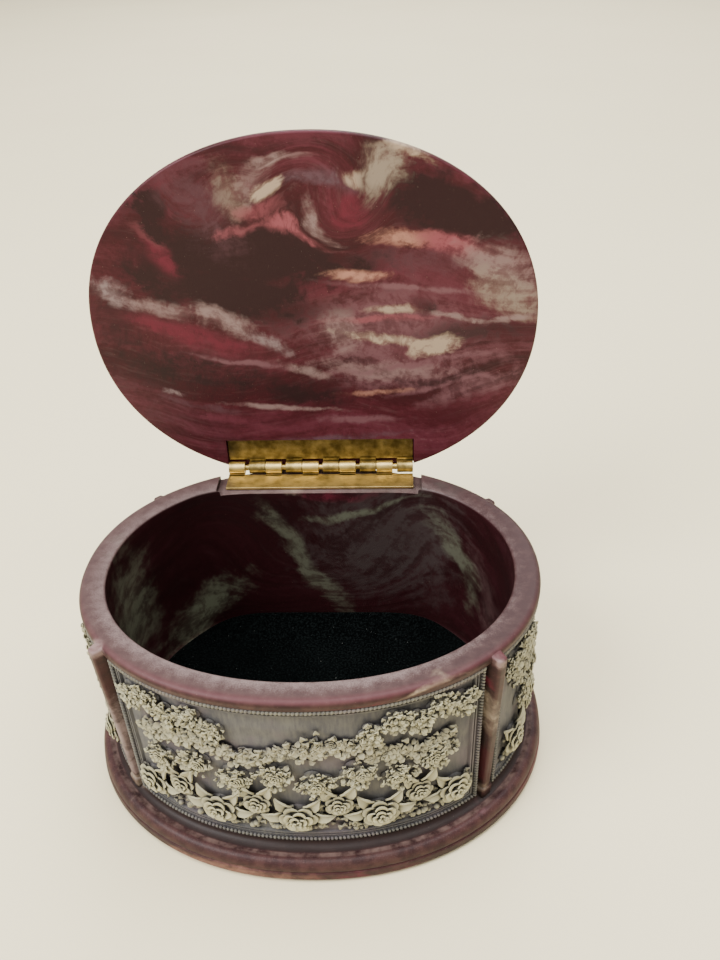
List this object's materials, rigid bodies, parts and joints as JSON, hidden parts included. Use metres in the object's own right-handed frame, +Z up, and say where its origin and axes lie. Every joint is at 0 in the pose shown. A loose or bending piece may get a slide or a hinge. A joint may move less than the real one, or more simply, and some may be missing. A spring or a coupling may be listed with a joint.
{
  "type": "stone trinket box",
  "caption": "Oval keepsake box of cast marbled stone with carved relief panels, a stepped plinth, a velvet floor and a lid on a rolled brass hinge, standing open.",
  "frame": {"origin": "middle of the foot, on the surface that the box stands on", "axes": "+X to the right seen from the front, +Y to the back where the hinge is, +Z up"},
  "size_m": [0.1468, 0.1264, 0.1776],
  "materials": {
    "burgundy_stone": "polished cast stone, marbled burgundy, pink, cream and grey",
    "relief_stone": "matt cast stone, cream high relief on a grey lavender ground",
    "black_velvet": "short pile black velvet",
    "base_felt": "dark felt",
    "aged_brass": "satin brass with brown tarnish"
  },
  "bodies": {
    "box": {"box_body": "burgundy_stone", "relief_panel_front": "relief_stone", "relief_panel_rear": "relief_stone", "relief_panel_left": "relief_stone", "relief_panel_right": "relief_stone", "velvet_floor_pad": "black_velvet", "base_felt": "base_felt", "hinge_leaf_body": "aged_brass", "hinge_pin": "aged_brass"},
    "lid": {"lid_slab": "burgundy_stone", "relief_panel_lid": "relief_stone", "hinge_leaf_lid": "aged_brass"}
  },
  "joints": [
    {"name": "lid_hinge", "type": "hinge", "parent": "box", "child": "lid", "pos_m": [0, 0.0507, 0.06865], "axis": [1, 0, 0], "range_deg": [0, 94]}
  ]
}
